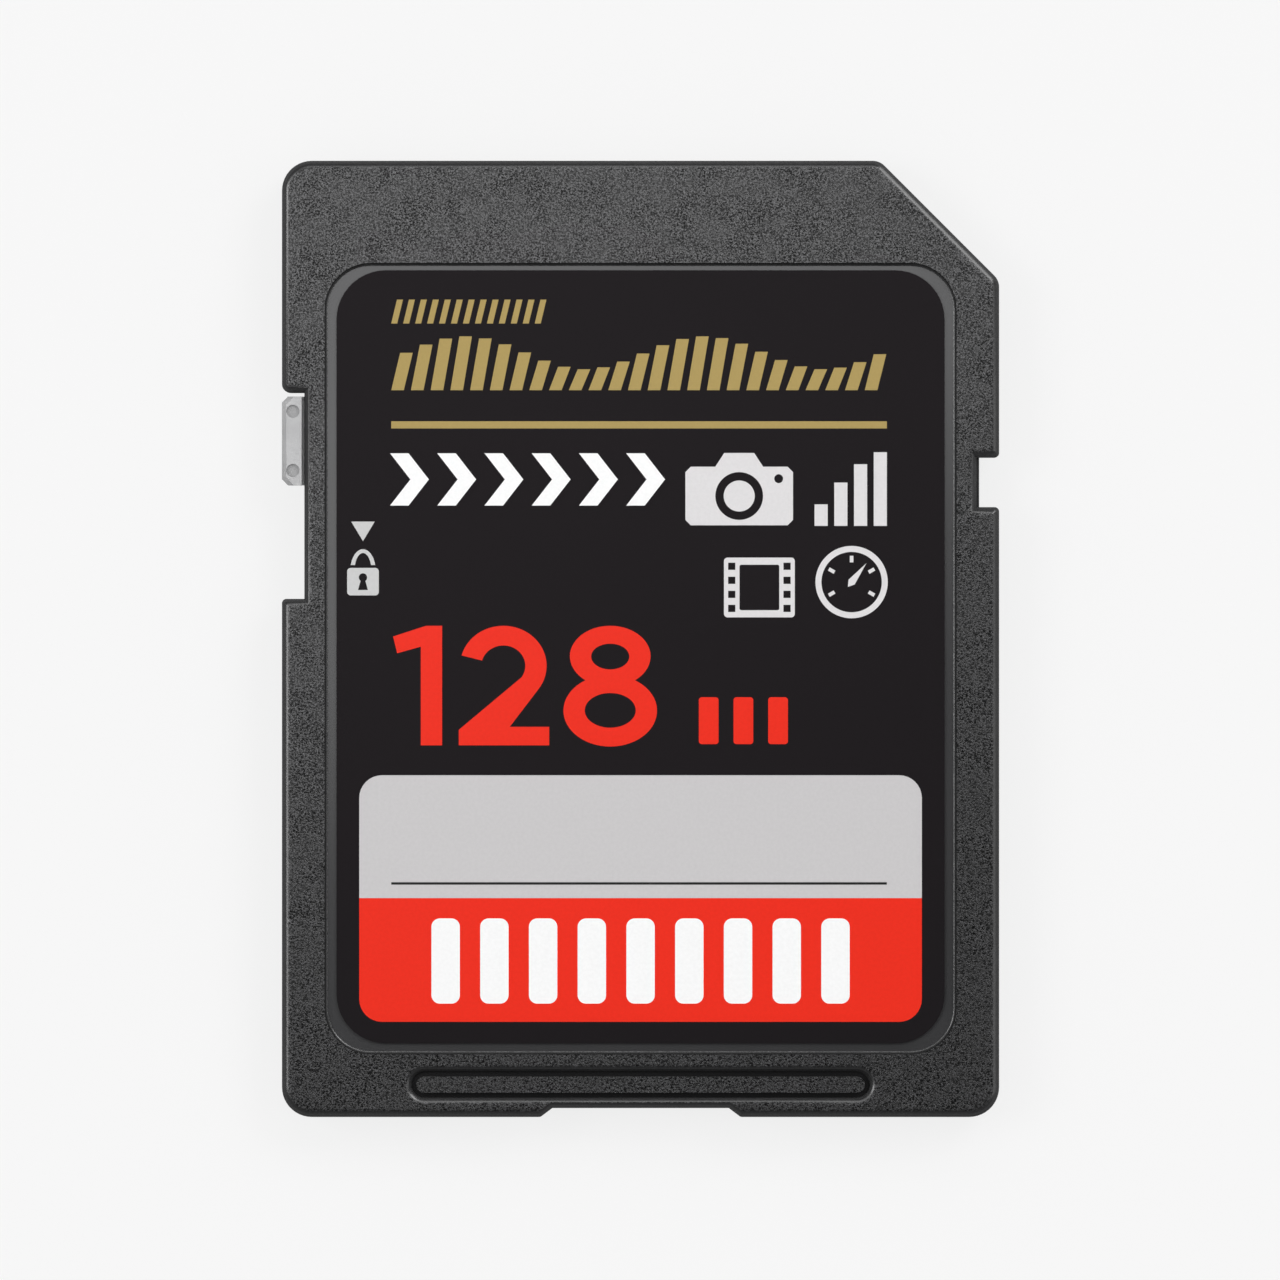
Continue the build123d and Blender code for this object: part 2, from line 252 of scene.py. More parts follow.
level = rising(tree, flatness, *level_flatness)
broad = rising(tree, flatness, *broad_flatness)
under_front = rising(tree, depth, *face_skin_depth)
polished = all_of(tree, level, under_front, rising(tree, height, *back_skin_height))
in_groove = all_of(tree, level, rising(tree, depth, *groove_depth), rising(tree, height, *groove_height))
on_side = all_of(tree, falling(tree, flatness, *side_flatness), rising(tree, depth, *side_depth))
on_rim = all_of(tree, falling(tree, flatness, *rim_flatness), falling(tree, depth, *rim_depth))
print("masks: broad, polished, in_groove, on_side, on_rim; seam at", round(seam_height, 3), "mm")

# %% Shell plastic: grain
grains_per_mm = 18.0
pits_per_mm = 6.5
clumps_per_mm = 1.1
grained_flatness = (0.92, 0.995)
roll_grain = 0.15
side_grain = 0.45
glint_span = (0.55, 0.68)
skin_span = (0.36, 0.59)
pit_span = (0.1, 0.45)
pit_floor_share = 0.2
clump_low = 0.75

grain = noise(tree, places, grains_per_mm, roughness=0.6)
# The palest specks of the grain, which get painted glints in the colour below.
glint_specks = rising(tree, grain, *glint_span)
cells = add_node(tree, "ShaderNodeTexVoronoi", {"Vector": places, "Scale": pits_per_mm})
from_pit = cells.outputs["Distance"]
between_pits = remap(tree, from_pit, *pit_span, pit_floor_share, 1.0)
skin_share = all_of(tree, rising(tree, grain, *skin_span), between_pits)
clumps = remap(tree, noise(tree, places, clumps_per_mm), *NOISE_MIDDLE, clump_low, 1.0)
face_reach = remap(tree, flatness, *grained_flatness, roll_grain, 1.0)
grain_reach = combine(tree, "MAXIMUM", face_reach, all_of(tree, on_side, side_grain))
pit_place = all_of(tree, rest_of(tree, polished), clumps, grain_reach)
pits = all_of(tree, pit_place, rest_of(tree, skin_share))
print("grain:", grains_per_mm, "to a millimetre")

# %% Shell plastic: colour and gloss
plastic_colour = linear_colour(23, 23, 24)
polish_dark, polish_light = 2.3, 2.54
# Painted glints: the palest grain specks are lightened to stand for tiny facets that catch the light.
painted_glint_light = 6.6
# Painted light: the upright walls are lightened to make up for the light they miss.
side_painted_light = 2.6
# The dark colour of the pits, and of the shade painted on the recess rim and in the grip's groove.
painted_shade_dark = 0.1
# How strongly the painted shade darkens the recess rim and the floor of the grip's groove.
rim_painted_shade, groove_painted_shade = 0.6, 0.7
metal_share = 0.9
gloss_flatness = (0.55, 0.85)
wall_roughness, roll_roughness = 0.75, 0.27
broad_roughness, polish_roughness = 0.4, 0.32

flow = noise(tree, places, per_mm=0.25)
polish_colour = mottled(tree, flow, NOISE_SPAN, plastic_colour, polish_dark, polish_light)
# The grain's colour, with painted glints on its palest specks.
grain_and_glint_colour = blend_colours(
    tree, all_of(tree, pit_place, glint_specks), plastic_colour, shade(plastic_colour, painted_glint_light)
)
front_colour = blend_colours(tree, polished, grain_and_glint_colour, polish_colour)
# The side walls get a lighter colour, which is painted light on the same plastic as the front.
skin_colour = blend_colours(tree, on_side, front_colour, shade(plastic_colour, side_painted_light))
# Painted shade: the top of the recess wall is darkened into a dark line, where shadow falls.
painted_shade_place = combine(tree, "MAXIMUM", pits, all_of(tree, on_rim, rim_painted_shade))
# Painted shade: the floor of the finger grip's groove is darkened, because little light reaches it.
painted_shade_place = combine(tree, "MAXIMUM", painted_shade_place, all_of(tree, in_groove, groove_painted_shade))
edge_roughness = remap(tree, flatness, *gloss_flatness, wall_roughness, roll_roughness)
outer_roughness = blend_values(tree, broad, edge_roughness, broad_roughness)
set_inputs(
    tree,
    shader,
    {
        "Base Color": blend_colours(tree, painted_shade_place, skin_colour, shade(plastic_colour, painted_shade_dark)),
        "Metallic": all_of(tree, painted_shade_place, metal_share),
        "Roughness": blend_values(tree, polished, outer_roughness, polish_roughness),
        "Specular IOR Level": 0.35,
        "Normal": bump(tree, rest_of(tree, pits), depth_mm=0.006),
    },
)
print("made", shell_plastic.name, "with", len(tree.nodes), "nodes")

# %% [markdown]
# ## Write lock plastic
# The slider is unpainted pale grey plastic, a little cloudy, with a soft gloss. Light could be let into
# it, but that renders slowly and an exported model loses it. So the cloudiness is a wide noise in the
# colour, and a fine one is the skin of the mould. The floors of the two dimples are darker: this is
# painted shade, where little light reaches them.

# %% Write lock plastic
lock_plastic, tree, shader = new_finish("lock_plastic")
lock_colour = linear_colour(161, 161, 162)
# How much darker the painted shade makes the floors of the dimples.
dimple_shade_dark = 0.72
dimple_flatness = (0.9, 0.99)
dimple_depth = (0.04, 0.08)

places = places_in_mm(tree)
cloud = noise(tree, places, per_mm=1.4, detail=3.0)
skin = noise(tree, places, per_mm=14.0)
unshaded_lock = mottled(tree, cloud, NOISE_SPAN, lock_colour, dark=0.92, light=1.06)
facing = add_node(tree, "ShaderNodeNewGeometry").outputs["Normal"]
lock_level = rising(tree, part_of(tree, facing, "Z"), *dimple_flatness)
lock_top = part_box("lock_slider")[1].z / MM
lock_depth = combine(tree, "SUBTRACT", lock_top, part_of(tree, places, "Z"))
# Painted shade: the dimple floors are darkened, because little light reaches into them.
in_dimple = all_of(tree, lock_level, rising(tree, lock_depth, *dimple_depth))
set_inputs(
    tree,
    shader,
    {
        "Base Color": blend_colours(tree, in_dimple, unshaded_lock, shade(lock_colour, dimple_shade_dark)),
        "Roughness": remap(tree, skin, *NOISE_SPAN, low=0.3, high=0.42),
        "Specular IOR Level": 0.4,
        "Normal": bump(tree, skin, depth_mm=0.002),
    },
)
print("made", lock_plastic.name)

# %% [markdown]
# ## Label film and inks
# The label is a black film with a satin skin, and each ink on it is a layer a few thousandths of a
# millimetre thick. One picture could hold the whole print, but its edges would blur close up, so each ink
# is a finish of its own on a thin piece. All share one recipe: a colour that is slightly mottled, as
# solid print is, over the faint waviness of film.


# %% Label film and inks
def print_finish(name, colour, roughness, specular):
    """Film or ink: mottled colour, uneven gloss and a faintly wavy skin."""
    material, tree, shader = new_finish(name)
    places = places_in_mm(tree)
    mottle = noise(tree, places, per_mm=9.0, detail=3.0, roughness=0.6)
    wave = noise(tree, places, per_mm=0.8, detail=1.0)
    set_inputs(
        tree,
        shader,
        {
            "Base Color": mottled(tree, mottle, NOISE_SPAN, colour, dark=0.98, light=1.02),
            "Roughness": remap(tree, mottle, *NOISE_SPAN, *roughness),
            "Specular IOR Level": specular,
            "Normal": bump(tree, wave, depth_mm=0.003),
        },
    )
    return material


ink_roughness = (0.42, 0.5)
label_film = print_finish("label_film", linear_colour(27, 24, 26), (0.5, 0.58), specular=0.02)
gold_ink = print_finish("gold_ink", linear_colour(170, 148, 90), ink_roughness, specular=0.05)
white_ink = print_finish("white_ink", linear_colour(247, 247, 247), ink_roughness, specular=0.1)
pale_ink = print_finish("pale_ink", linear_colour(219, 217, 218), ink_roughness, specular=0.1)
sign_ink = print_finish("sign_ink", linear_colour(199, 199, 199), ink_roughness, specular=0.1)
red_ink = print_finish("red_ink", linear_colour(234, 46, 29), (0.4, 0.48), specular=0.05)
panel_ink = print_finish("panel_ink", linear_colour(199, 197, 198), (0.62, 0.72), specular=0.1)
black_ink = print_finish("black_ink", linear_colour(18, 18, 18), (0.45, 0.55), specular=0.12)
print("made", label_film.name, "and seven inks")

# %% [markdown]
# ## Contacts, board and chips
# These are inside or on the back. The contacts are gold plate with fine wear lines along the way the card
# slides. The board has a green lacquer over a glass weave, the chips are moulded resin, and each small
# capacitor or resistor has a ceramic middle between two tinned ends. The solids of the CAD have the right
# shapes, so they stay and only change their material. The ends of a small part could be pieces of their
# own, but a mask that is measured from the part's middle gives the same look.

# %% Contacts
contact_gold, tree, shader = new_finish("contact_gold")
gold_colour = linear_colour(226, 184, 104)
along_the_slide = (1, 0.04, 1)
wear = noise(tree, places_in_mm(tree, along_the_slide), per_mm=9.0, detail=4.0, roughness=0.6)
set_inputs(
    tree,
    shader,
    {
        "Base Color": mottled(tree, wear, NOISE_MIDDLE, gold_colour, dark=0.88, light=1.04),
        "Metallic": 1.0,
        "Roughness": remap(tree, wear, *NOISE_SPAN, low=0.2, high=0.38),
        "Normal": bump(tree, wear, depth_mm=0.002),
    },
)
print("made", contact_gold.name)

# %% Board
board_laminate, tree, shader = new_finish("board_laminate")
lacquer_colour = linear_colour(24, 74, 46)
weave_dark, weave_light = shade(lacquer_colour, 0.8), shade(lacquer_colour, 1.15)
weave_scale = 1.1
places = places_in_mm(tree)
threads = {"Vector": places, "Scale": weave_scale}
warp = add_node(tree, "ShaderNodeTexWave", threads, bands_direction="X").outputs["Fac"]
weft = add_node(tree, "ShaderNodeTexWave", threads, bands_direction="Y").outputs["Fac"]
weave = all_of(tree, warp, weft)
gloss = noise(tree, places, per_mm=6.0)
set_inputs(
    tree,
    shader,
    {
        "Base Color": blend_colours(tree, weave, weave_dark, weave_light),
        "Roughness": remap(tree, gloss, *NOISE_SPAN, low=0.28, high=0.42),
        "Normal": bump(tree, weave, depth_mm=0.004),
    },
)
print("made", board_laminate.name)

# %% Chips
chip_resin, tree, shader = new_finish("chip_resin")
resin_colour = linear_colour(38, 38, 40)
filler = noise(tree, places_in_mm(tree), per_mm=16.0, detail=3.0, roughness=0.7)
set_inputs(
    tree,
    shader,
    {
        "Base Color": mottled(tree, filler, NOISE_MIDDLE, resin_colour, dark=0.75, light=1.3),
        "Roughness": remap(tree, filler, *NOISE_SPAN, low=0.55, high=0.7),
        "Normal": bump(tree, filler, depth_mm=0.008),
    },
)
print("made", chip_resin.name)

# %% Capacitors and resistors
tin_colour = linear_colour(196, 197, 200)
tinned_length = 0.22
half_blur = 0.02


def chip_part_finish(node_name, middle_colour):
    """Ceramic middle and tinned ends, measured from the part's own middle."""
    low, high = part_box(node_name)
    material, tree, shader = new_finish(f"{node_name}_finish")
    places = places_in_mm(tree, centre=(low + high) / 2)
    from_middle = combine(tree, "ABSOLUTE", part_of(tree, places, "X"))
    end_start = (high.x - low.x) / 2 / MM - tinned_length
    at_end = rising(tree, from_middle, end_start - half_blur, end_start + half_blur)
    grit = noise(tree, places, per_mm=18.0, detail=3.0)
    ceramic = mottled(tree, grit, NOISE_MIDDLE, middle_colour, dark=0.85, light=1.12)
    tin = mottled(tree, grit, NOISE_MIDDLE, tin_colour, dark=0.9, light=1.05)
    set_inputs(
        tree,
        shader,
        {
            "Base Color": blend_colours(tree, at_end, ceramic, tin),
            "Metallic": at_end,
            "Roughness": remap(tree, grit, *NOISE_SPAN, low=0.3, high=0.5),
            "Normal": bump(tree, grit, depth_mm=0.004),
        },
    )
    return material


print("tinned ends:", tinned_length, "mm long")


# %% Dress the inside
def dress(node_name, material):
    """Give a CAD node a finish of its own."""
    slots = nodes[node_name].data.materials
    slots.clear()
    slots.append(material)


capacitor_colour = linear_colour(150, 118, 82)
resistor_colour = linear_colour(34, 34, 38)
for name in nodes:
    if name.startswith("contact_pad"):
        dress(name, contact_gold)
    if name.endswith("chip"):
        dress(name, chip_resin)
    if name.startswith("capacitor"):
        dress(name, chip_part_finish(name, capacitor_colour))
    if name.startswith("resistor"):
        dress(name, chip_part_finish(name, resistor_colour))
dress("circuit_board", board_laminate)
dress("label", label_film)
print("dressed the label, the board, its contacts, its chips and its small parts")

# %% [markdown]
# ## Smooth shells and slider
# A CAD node is a cloud of flat triangles, so its rolled edge would show facets. A finer mesh would hide
# them, but it would be heavy. A copy with its doubles merged can share one normal between neighbours:
# edges sharper than a limit stay crisp, and the rest blend. Weighting the normals by face size keeps the
# broad faces flat right up to the roll.


# %% Finished pieces
def mesh_from(source):
    """The evaluated object as a plain mesh; the source is deleted."""
    scene.collection.objects.link(source)
    mesh = bpy.data.meshes.new_from_object(source.evaluated_get(bpy.context.evaluated_depsgraph_get()))
    bpy.data.objects.remove(source)
    return mesh


def add_piece(name, mesh, body):
    """A piece at the origin that rides on a body, with the finish its mesh already carries."""
    mesh.name = name
    piece = bpy.data.objects.new(name, mesh)
    scene.collection.objects.link(piece)
    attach(piece, body)
    print(name, len(mesh.polygons), "faces")
    return piece


# %% Smooth shells and slider
same_place = 1e-7
crease_angle = 36


def smooth_copy(node_name, body, material):
    """A merged copy of a CAD node with blended normals, which stands for it on its body."""
    mesh = nodes[node_name].data.copy()
    for attribute_name in ("custom_normal", "sharp_edge", "sharp_face"):
        if attribute_name in mesh.attributes:
            mesh.attributes.remove(mesh.attributes[attribute_name])
    shape = bmesh.new()
    shape.from_mesh(mesh)
    bmesh.ops.remove_doubles(shape, verts=shape.verts, dist=same_place)
    for face in shape.faces:
        face.smooth = True
    shape.to_mesh(mesh)
    shape.free()
    mesh.set_sharp_from_angle(angle=radians(crease_angle))
    mesh.materials.clear()
    mesh.materials.append(material)

    source = bpy.data.objects.new(f"{node_name}_source", mesh)
    source.modifiers.new("weighted", "WEIGHTED_NORMAL").keep_sharp = True
    piece = add_piece(f"{node_name}_skin", mesh_from(source), body)
    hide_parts(node_name)


smooth_copy("front_shell", "card", shell_plastic)
smooth_copy("rear_shell", "card", shell_plastic)
smooth_copy("lock_slider", "lock", lock_plastic)

# %% [markdown]
# ## How the print is made
# Each printed sign starts as a flat outline. A filled 2D curve turns outlines into faces, and an outline
# inside another becomes a hole. A small Geometry Nodes tree then leans the shape, gives it the thickness
# of ink and repeats it in a row, with a swell along the row where one is wanted. A loop in the script
# could copy the shapes too, but the tree shows its sizes as named inputs. The result is a plain mesh that
# lies on the film. The outlines are in millimetres from the middle of the card, because fills and merges
# are more exact at that scale.


# %% Stamp tree
def build_stamp_tree():
    """A tree that leans, thickens and repeats a flat shape."""
    tree = bpy.data.node_groups.new("ink_stamp_row", "GeometryNodeTree")
    tree.interface.new_socket("Geometry", in_out="INPUT", socket_type="NodeSocketGeometry")
    for name, kind in (
        ("Count", "NodeSocketInt"),
        ("Pitch", "NodeSocketFloat"),
        ("Lean", "NodeSocketFloat"),
        ("Swell", "NodeSocketFloat"),
        ("Swell Step", "NodeSocketFloat"),
        ("Thickness", "NodeSocketFloat"),
        ("Ink", "NodeSocketMaterial"),
    ):
        tree.interface.new_socket(name, in_out="INPUT", socket_type=kind)
    tree.interface.new_socket("Geometry", in_out="OUTPUT", socket_type="NodeSocketGeometry")
    given = add_node(tree, "NodeGroupInput").outputs
    solid = build_stamp(tree, given)
    row = build_row(tree, given, solid)
    real = add_node(tree, "GeometryNodeRealizeInstances", {"Geometry": row}).outputs["Geometry"]
    inked = add_node(tree, "GeometryNodeSetMaterial", {"Geometry": real, "Material": given["Ink"]})
    add_node(tree, "NodeGroupOutput", {"Geometry": inked.outputs["Geometry"]})
    return tree


def build_stamp(tree, given):
    """One shape: leaning, then closed to a solid with a top, a wall and an underside."""
    merge_distance = 0.0001
    position = add_node(tree, "GeometryNodeInputPosition").outputs["Position"]
    shift = combine(tree, "MULTIPLY", part_of(tree, position, "Y"), given["Lean"])
    lean = add_node(tree, "ShaderNodeCombineXYZ", {"X": shift}).outputs["Vector"]
    flat = add_node(tree, "GeometryNodeSetPosition", {"Geometry": given["Geometry"], "Offset": lean})
    raised = add_node(
        tree,
        "GeometryNodeExtrudeMesh",
        {
            "Mesh": flat.outputs["Geometry"],
            "Offset": (0.0, 0.0, 1.0),
            "Offset Scale": given["Thickness"],
            "Individual": False,
        },
    )
    under = add_node(tree, "GeometryNodeFlipFaces", {"Mesh": flat.outputs["Geometry"]})
    join = add_node(tree, "GeometryNodeJoinGeometry")
    tree.links.new(under.outputs["Mesh"], join.inputs["Geometry"])
    tree.links.new(raised.outputs["Mesh"], join.inputs["Geometry"])
    merge = {"Geometry": join.outputs["Geometry"], "Distance": merge_distance}
    return add_node(tree, "GeometryNodeMergeByDistance", merge).outputs["Geometry"]


def build_row(tree, given, solid):
    """The shape once at each place of a row, its height swelling and sinking along it."""
    step = add_node(tree, "ShaderNodeCombineXYZ", {"X": given["Pitch"]}).outputs["Vector"]
    line = add_node(tree, "GeometryNodeMeshLine", {"Count": given["Count"], "Offset": step})
    index = add_node(tree, "GeometryNodeInputIndex").outputs["Index"]
    wave = combine(tree, "SINE", combine(tree, "MULTIPLY", index, given["Swell Step"]))
    tall = combine(tree, "ADD", combine(tree, "MULTIPLY", wave, given["Swell"]), 1.0)
    size = add_node(tree, "ShaderNodeCombineXYZ", {"X": 1.0, "Y": tall, "Z": 1.0}).outputs["Vector"]
    places = {"Points": line.outputs["Mesh"], "Instance": solid, "Scale": size}
    return add_node(tree, "GeometryNodeInstanceOnPoints", places).outputs["Instances"]


stamp_tree = build_stamp_tree()
print("stamp tree has", len(stamp_tree.nodes), "nodes")


# %% Outlines
def round_box(left, foot, right, top, radii=(0, 0, 0, 0), steps=8):
    """A box whose corners have their own radii: lower left, lower right, upper right, upper left."""
    corners = ((left, foot, 1, 1), (right, foot, -1, 1), (right, top, -1, -1), (left, top, 1, -1))
    points = []
    for turn, ((x, y, to_x, to_y), radius) in enumerate(zip(corners, radii)):
        if radius == 0:
            points.append((x, y))
            continue
        start = pi + turn * pi / 2
        for step in range(steps + 1):
            angle = start + step / steps * pi / 2
            points.append((x + radius * (to_x + cos(angle)), y + radius * (to_y + sin(angle))))
    return points


def oval(x, y, half_width, half_height, start, end, steps=48):
    """Points on an oval, from one angle to another in degrees."""
    turns = [radians(start + (end - start) * step / steps) for step in range(steps + 1)]
    return [(x + half_width * cos(turn), y + half_height * sin(turn)) for turn in turns]


def arc(x, y, radius, start, end, steps=40):
    """Points on an arc, from one angle to another in degrees."""
    return oval(x, y, radius, radius, start, end, steps)


def circle(x, y, radius, steps=40):
    """A closed circle."""
    return arc(x, y, radius, 0, 360, steps)[:-1]


def flat_mesh(name, outlines):
    """Fill outlines; one inside another is a hole."""
    curve = bpy.data.curves.new(name, "CURVE")
    curve.dimensions = "2D"
    curve.fill_mode = "BOTH"
    for points in outlines:
        spline = curve.splines.new("POLY")
        spline.points.add(len(points) - 1)
        spline.use_cyclic_u = True
        for point, (x, y) in zip(spline.points, points):
            point.co = (x, y, 0.0, 1.0)
    return mesh_from(bpy.data.objects.new(name, curve))


print("outlines: boxes, ovals, arcs and circles")

# %% Print a piece
ink_thickness = 0.006
ink_bite = 0.001


def print_piece(
    name, outlines, ink, at=(0.0, 0.0), layer=0, count=1, pitch=0.0, lean=0.0, swell=0.0, swell_step=0.0
):
    """Run outlines through the stamp tree and lay the result on the film, or on ink already there."""
    stamp = bpy.data.objects.new(f"{name}_stamp", flat_mesh(f"{name}_outline", outlines))
    modifier = stamp.modifiers.new("stamp", "NODES")
    modifier.node_group = stamp_tree
    values = {
        "Count": count,
        "Pitch": pitch,
        "Lean": lean,
        "Swell": swell,
        "Swell Step": swell_step,
        "Thickness": ink_thickness + ink_bite,
        "Ink": ink,
    }
    for socket in stamp_tree.interface.items_tree:
        if socket.in_out == "INPUT" and socket.name in values:
            modifier[socket.identifier] = values[socket.name]
    mesh = mesh_from(stamp)
    shape = bmesh.new()
    shape.from_mesh(mesh)
    bmesh.ops.recalc_face_normals(shape, faces=shape.faces)
    shape.to_mesh(mesh)
    shape.free()
    foot = label_top / MM + layer * ink_thickness - ink_bite
    mesh.transform(Matrix.Scale(MM, 4) @ Matrix.Translation((*at, foot)))
    add_piece(name, mesh, "card")


print("ink is", ink_thickness, "mm thick")

# %% [markdown]
# ## Panel, band and rule
# The lower third of the label is a pale panel to write on, with a thin line, and a red band below it.
# Together they are one box with round outer corners. They could be one piece with two materials, but two
# pieces keep the border between the inks sharp. A gold rule closes the heading.

# %% Panel, band and rule
panel_left, panel_right = -9.41, 9.41
panel_top, panel_foot, band_foot = -4.56, -8.67, -12.81
panel_radius = 0.76
print_left, print_right = -8.34, 8.24
line_foot, line_top = -8.22, -8.14
rule_foot, rule_top = 7.04, 7.28

round_above = (0, 0, panel_radius, panel_radius)
round_below = (panel_radius, panel_radius, 0, 0)
panel_outline = round_box(panel_left, panel_foot, panel_right, panel_top, round_above)
band_outline = round_box(panel_left, band_foot, panel_right, panel_foot, round_below)
line_outline = round_box(print_left, line_foot, print_right, line_top)
rule_outline = round_box(print_left, rule_foot, print_right, rule_top)
print_piece("print_panel", [panel_outline], panel_ink)
print_piece("print_band", [band_outline], red_ink)
print_piece("print_panel_line", [line_outline], black_ink, layer=1)
print_piece("print_rule", [rule_outline], gold_ink)

# %% [markdown]
# ## Rows of bars
# The heading is two rows of leaning gold bars, the taller one swelling like a wave. White chevrons stand
# for speed, red blocks stand beside the number, four rising bars stand beside the camera, and the band
# has one white bar for each of the nine contacts. Every bar could be drawn, but a row has a rule, so each
# is a single shape that the stamp tree repeats.


# %% Heading
def bar(width, height, radius=0):
    """One upright bar with its lower left corner at the origin."""
    return [round_box(0.0, 0.0, width, height, (radius,) * 4)]


heading_lean = 0.24
small_bar, small_foot = bar(width=0.2, height=0.8), 10.55
tall_bar, tall_foot = bar(width=0.42, height=1.25), 8.32
small_row = {"count": 13, "pitch": 0.4, "lean": heading_lean}
tall_row = {"count": 25, "pitch": 0.66, "lean": heading_lean, "swell": 0.44, "swell_step": 0.52}
print_piece("print_small_heading", small_bar, gold_ink, (print_left, small_foot), **small_row)
print_piece("print_heading", tall_bar, gold_ink, (print_left, tall_foot), **tall_row)

# %% Chevrons, blocks, contact bars and rising bars
chevron_stroke, chevron_reach, chevron_height = 0.62, 1.3, 1.75
chevron = [
    (0.0, 0.0),
    (chevron_stroke, 0.0),
    (chevron_reach, chevron_height / 2),
    (chevron_stroke, chevron_height),
    (0.0, chevron_height),
    (chevron_reach - chevron_stroke, chevron_height / 2),
]
chevrons_at = (-8.38, 4.46)
print_piece("print_chevrons", [chevron], white_ink, chevrons_at, count=6, pitch=1.58)

blocks_at = (1.95, -3.52)
print_piece("print_blocks", bar(width=0.66, height=1.57, radius=0.1), red_ink, blocks_at, count=3, pitch=1.16)

contact_count, contact_pitch, contact_width = 9, 1.63, 0.95
contacts_foot = -12.2
contacts_length = (contact_count - 1) * contact_pitch + contact_width
contact_bar = bar(contact_width, height=2.85, radius=0.28)
contact_row = {"count": contact_count, "pitch": contact_pitch, "layer": 1}
print_piece("print_band_bars", contact_bar, white_ink, (-contacts_length / 2, contacts_foot), **contact_row)

levels_at = (5.82, 3.78)
level_row = {"count": 4, "pitch": 0.66, "swell": 2.6, "swell_step": 0.4}
print_piece("print_levels", bar(width=0.44, height=0.72), pale_ink, levels_at, **level_row)

# %% [markdown]
# ## Signs
# Three plain signs say what the card is for: a camera, a strip of film and a gauge. Each is a few
# outlines, where every second one cuts a hole in the one around it. Cutting solids from each other would
# give the same, but filled outlines leave cleaner faces. At the left edge, an arrow and a padlock show
# which way the slider locks the card.

# %% Camera sign
camera_left, camera_right, camera_foot, camera_top = 1.5, 5.1, 3.8, 5.76
camera_cut = 0.18
hump_left, hump_right, hump_top, hump_slope = 2.5, 4.1, 6.22, 0.3
lens_x, lens_y, lens_radius, glass_radius = 3.3, 4.78, 0.8, 0.52
finder_x, finder_y, finder_radius = 4.62, 5.36, 0.15
camera_body = [
    (camera_left, camera_foot + camera_cut),
    (camera_left + camera_cut, camera_foot),
    (camera_right - camera_cut, camera_foot),
    (camera_right, camera_foot + camera_cut),
    (camera_right, camera_top - camera_cut),
    (camera_right - camera_cut, camera_top),
    (hump_right, camera_top),
    (hump_right - hump_slope, hump_top),
    (hump_left + hump_slope, hump_top),
    (hump_left, camera_top),
    (camera_left + camera_cut, camera_top),
    (camera_left, camera_top - camera_cut),
]
camera_outlines = [
    camera_body,
    circle(lens_x, lens_y, lens_radius),
    circle(lens_x, lens_y, glass_radius),
    circle(finder_x, finder_y, finder_radius, steps=16),
]
print_piece("print_camera", camera_outlines, pale_ink)

# %% Film sign
film_left, film_right, film_foot, film_top = 2.79, 5.16, 0.72, 2.72
film_radius, window_radius = 0.12, 0.06
window_inset_x, window_inset_y = 0.52, 0.24
hole_side, hole_inset = 0.24, 0.14
hole_count, hole_start, hole_pitch = 4, 0.18, 0.47
film_outlines = [
    round_box(film_left, film_foot, film_right, film_top, (film_radius,) * 4),
    round_box(
        film_left + window_inset_x,
        film_foot + window_inset_y,
        film_right - window_inset_x,
        film_top - window_inset_y,
        (window_radius,) * 4,
    ),
]
for hole_left in (film_left + hole_inset, film_right - hole_inset - hole_side):
    for step in range(hole_count):
        hole_foot = film_foot + hole_start + step * hole_pitch
        film_outlines.append(round_box(hole_left, hole_foot, hole_left + hole_side, hole_foot + hole_side))
print_piece("print_film", film_outlines, pale_ink)

# %% Gauge sign
gauge_middle = Vector((7.06, 1.9))
gauge_radius, ring_width, ring_steps = 1.21, 0.2, 64
tick_angles = (210, 150, 90, 30, -30)
tick_start, tick_end, tick_half = 0.66, 0.88, 0.06
needle_angle = 52
needle_tail, needle_tip, needle_half = 0.2, 0.8, 0.13


def spoke(angle, along_and_across):
    """An outline on a line out of the gauge's middle, from distances along that line and across it."""
    out = Vector((cos(radians(angle)), sin(radians(angle))))
    side = Vector((-out.y, out.x))
    return [tuple(gauge_middle + out * along + side * across) for along, across in along_and_across]


tick = [(tick_start, -tick_half), (tick_end, -tick_half), (tick_end, tick_half), (tick_start, tick_half)]
needle = [(-needle_tail, 0.0), (0.0, -needle_half), (needle_tip, 0.0), (0.0, needle_half)]
gauge_outlines = [
    circle(*gauge_middle, gauge_radius, ring_steps),
    circle(*gauge_middle, gauge_radius - ring_width, ring_steps),
]
for angle in tick_angles:
    gauge_outlines.append(spoke(angle, tick))
gauge_outlines.append(spoke(needle_angle, needle))
print_piece("print_gauge", gauge_outlines, pale_ink)

# %% Arrow and padlock
lock_x = -9.285
arrow_half, arrow_top, arrow_tip = 0.395, 3.925, 3.27
shackle_foot, shackle_drop = 2.47, 0.2
body_half, body_foot, body_top, body_radius = 0.53, 1.455, 2.375, 0.12
keyhole_y, keyhole_radius, keyhole_start, keyhole_end = 2.055, 0.14, -55, 235
keyhole_foot, keyhole_half = 1.635, 0.165


def arch(half_width, rise):
    """The top of an oval that is cut above its middle, so that its legs spread, from right to left."""
    reach = rise + shackle_drop
    cut = asin(shackle_drop / reach)
    middle_y = shackle_foot - shackle_drop
    return oval(lock_x, middle_y, half_width / cos(cut), reach, degrees(cut), 180 - degrees(cut), steps=24)


